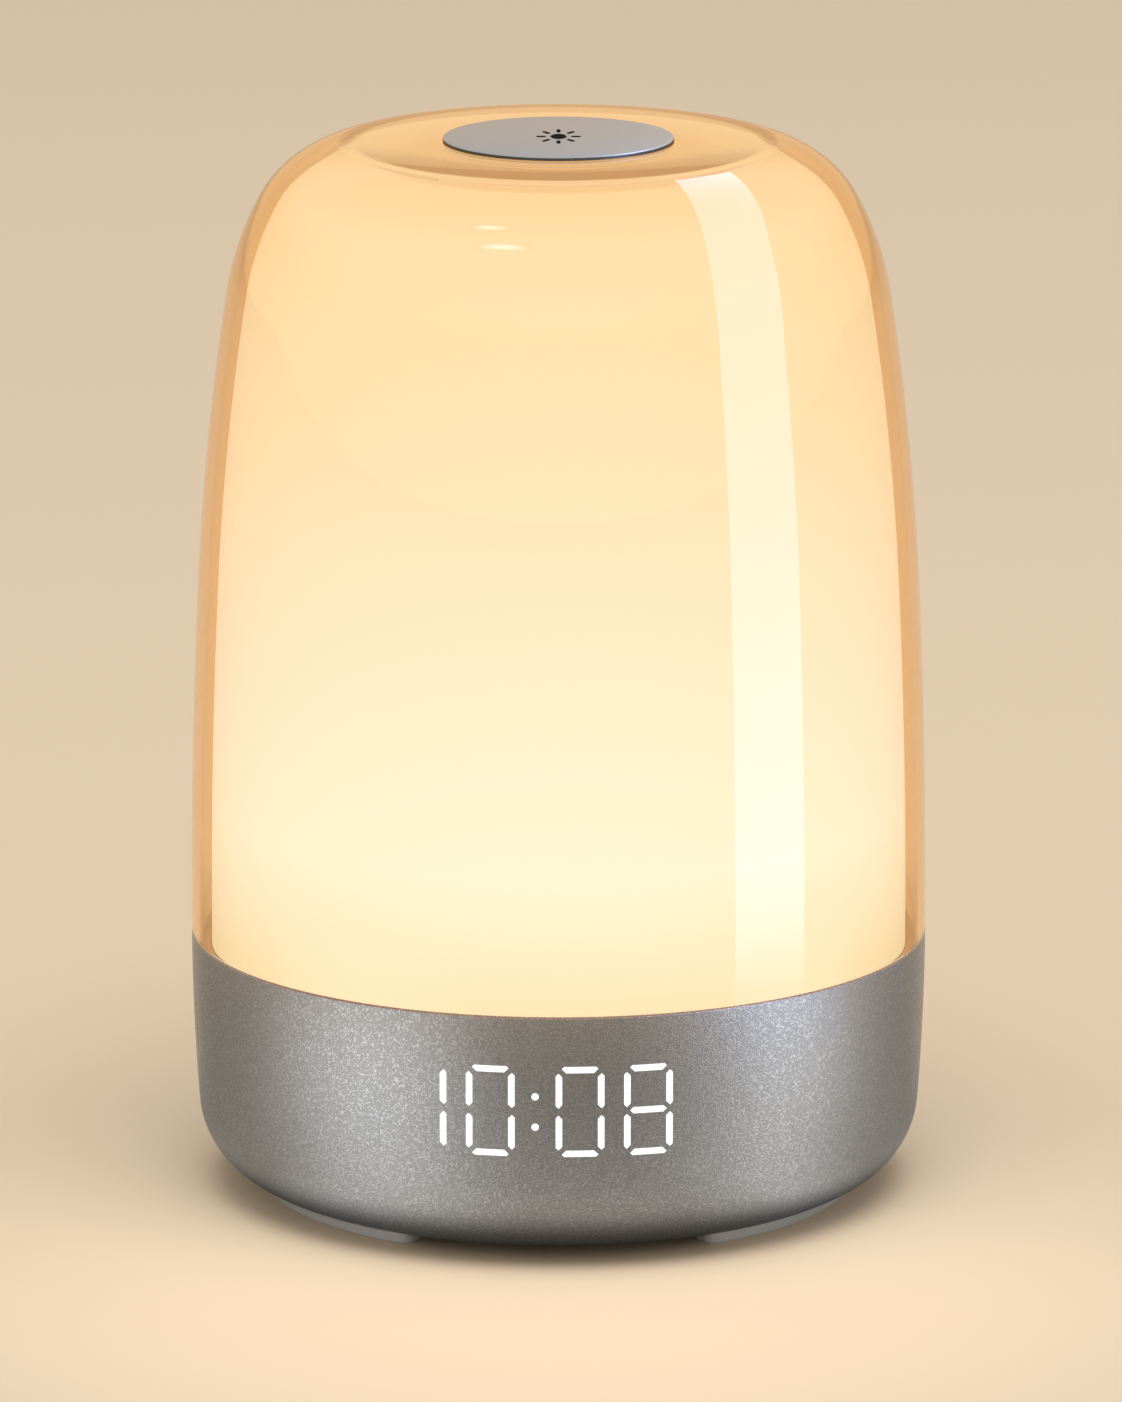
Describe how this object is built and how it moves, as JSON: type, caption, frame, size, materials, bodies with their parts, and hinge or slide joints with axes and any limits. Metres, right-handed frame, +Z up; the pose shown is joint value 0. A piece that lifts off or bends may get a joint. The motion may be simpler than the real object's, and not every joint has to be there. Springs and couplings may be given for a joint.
{
  "type": "alarm clock lamp",
  "caption": "Round bedside alarm clock lamp: grey metallic base with lit digits, glowing opal body under a clear amber shade, and a round metal press button on top.",
  "frame": {"origin": "on the floor, under the middle of the round base", "axes": "+Z up, -Y to the front with the clock digits, +X to the right seen from the front"},
  "size_m": [0.12, 0.1204, 0.1733],
  "materials": {
    "wrinkle_paint_abs": "ABS bowl sprayed with fine wrinkle metallic grey paint",
    "cover_abs": "spark-eroded dark grey ABS",
    "foot_rubber": "smooth light grey silicone rubber",
    "screw_steel": "zinc plated steel",
    "white_abs": "moulded white ABS",
    "circuit_board": "green solder mask on glass epoxy",
    "light_board": "white solder mask on aluminium",
    "black_epoxy": "moulded black epoxy and nylon",
    "can_aluminium": "drawn aluminium can",
    "gasket_foam": "closed cell foam",
    "speaker_steel": "pressed steel and ferrite",
    "cone_paper": "pressed paper with rubber surround",
    "contact_brass": "plated spring bronze",
    "mask_plastic": "white light guide block",
    "led_epoxy": "phosphor in epoxy",
    "usb_steel": "deep drawn stainless steel",
    "opal_acrylic": "satin opal acrylic, lit warm",
    "amber_polycarbonate": "polished clear amber polycarbonate",
    "clear_acrylic": "clear extruded acrylic",
    "lead_insulation": "white lead insulation",
    "cell_steel": "nickel plated steel can",
    "button_aluminium": "satin anodised aluminium",
    "key_abs": "fine textured grey ABS",
    "stem_nylon": "moulded nylon"
  },
  "bodies": {
    "base": {"base_housing": "wrinkle_paint_abs", "bottom_cover": "cover_abs", "foot_front_left": "foot_rubber", "foot_front_right": "foot_rubber", "foot_rear": "foot_rubber", "cover_screws": "screw_steel", "led_board_screws": "screw_steel", "deck_plate": "white_abs", "switch_cup": "white_abs", "reflector_ring": "white_abs", "main_board": "circuit_board", "display_board": "circuit_board", "rear_board": "circuit_board", "top_switch_board": "circuit_board", "led_board": "light_board", "controller_chip": "black_epoxy", "supply_inductor": "black_epoxy", "rear_switches": "black_epoxy", "top_switch": "black_epoxy", "usb_c_tongue": "black_epoxy", "lead_connector": "black_epoxy", "led_header": "black_epoxy", "display_header": "black_epoxy", "rear_header": "black_epoxy", "supply_capacitor": "can_aluminium", "clock_crystal": "can_aluminium", "speaker_gasket": "gasket_foam", "speaker_frame": "speaker_steel", "speaker_magnet": "speaker_steel", "speaker_cone": "cone_paper", "speaker_contacts": "contact_brass", "cell_contact_negative": "contact_brass", "cell_contact_positive": "contact_brass", "segment_mask": "mask_plastic", "segment_leds": "led_epoxy", "led_chips": "led_epoxy", "usb_c_shell": "usb_steel", "inner_diffuser": "opal_acrylic", "outer_shade": "amber_polycarbonate", "wire_tube": "clear_acrylic", "switch_leads": "lead_insulation", "backup_cell": "cell_steel"},
    "top_button": {"button_disc": "button_aluminium", "button_plunger": "white_abs", "top_switch_stem": "stem_nylon"},
    "cell_door": {"battery_door": "cover_abs"},
    "key_1": {"rear_key_1": "key_abs", "rear_switch_stem_1": "stem_nylon"},
    "key_2": {"rear_key_2": "key_abs", "rear_switch_stem_2": "stem_nylon"},
    "key_3": {"rear_key_3": "key_abs", "rear_switch_stem_3": "stem_nylon"},
    "key_4": {"rear_key_4": "key_abs", "rear_switch_stem_4": "stem_nylon"},
    "key_5": {"rear_key_5": "key_abs", "rear_switch_stem_5": "stem_nylon"}
  },
  "joints": [
    {"name": "top_button_press", "type": "slide", "parent": "base", "child": "top_button", "axis": [0, 0, -1], "range_m": [0, 0.0005], "stiffness_N_per_m": 2000, "springref_m": -0.0005},
    {"name": "cell_door_turn", "type": "hinge", "parent": "base", "child": "cell_door", "pos_m": [0, -0.02295, 0.00275], "axis": [0, 0, 1], "range_deg": [0, 45]},
    {"name": "key_1_press", "type": "slide", "parent": "base", "child": "key_1", "axis": [0, -1, 0], "range_m": [0, 0.0005], "stiffness_N_per_m": 2000, "springref_m": -0.0005},
    {"name": "key_2_press", "type": "slide", "parent": "base", "child": "key_2", "axis": [0, -1, 0], "range_m": [0, 0.0005], "stiffness_N_per_m": 2000, "springref_m": -0.0005},
    {"name": "key_3_press", "type": "slide", "parent": "base", "child": "key_3", "axis": [0, -1, 0], "range_m": [0, 0.0005], "stiffness_N_per_m": 2000, "springref_m": -0.0005},
    {"name": "key_4_press", "type": "slide", "parent": "base", "child": "key_4", "axis": [0, -1, 0], "range_m": [0, 0.0005], "stiffness_N_per_m": 2000, "springref_m": -0.0005},
    {"name": "key_5_press", "type": "slide", "parent": "base", "child": "key_5", "axis": [0, -1, 0], "range_m": [0, 0.0005], "stiffness_N_per_m": 2000, "springref_m": -0.0005}
  ]
}
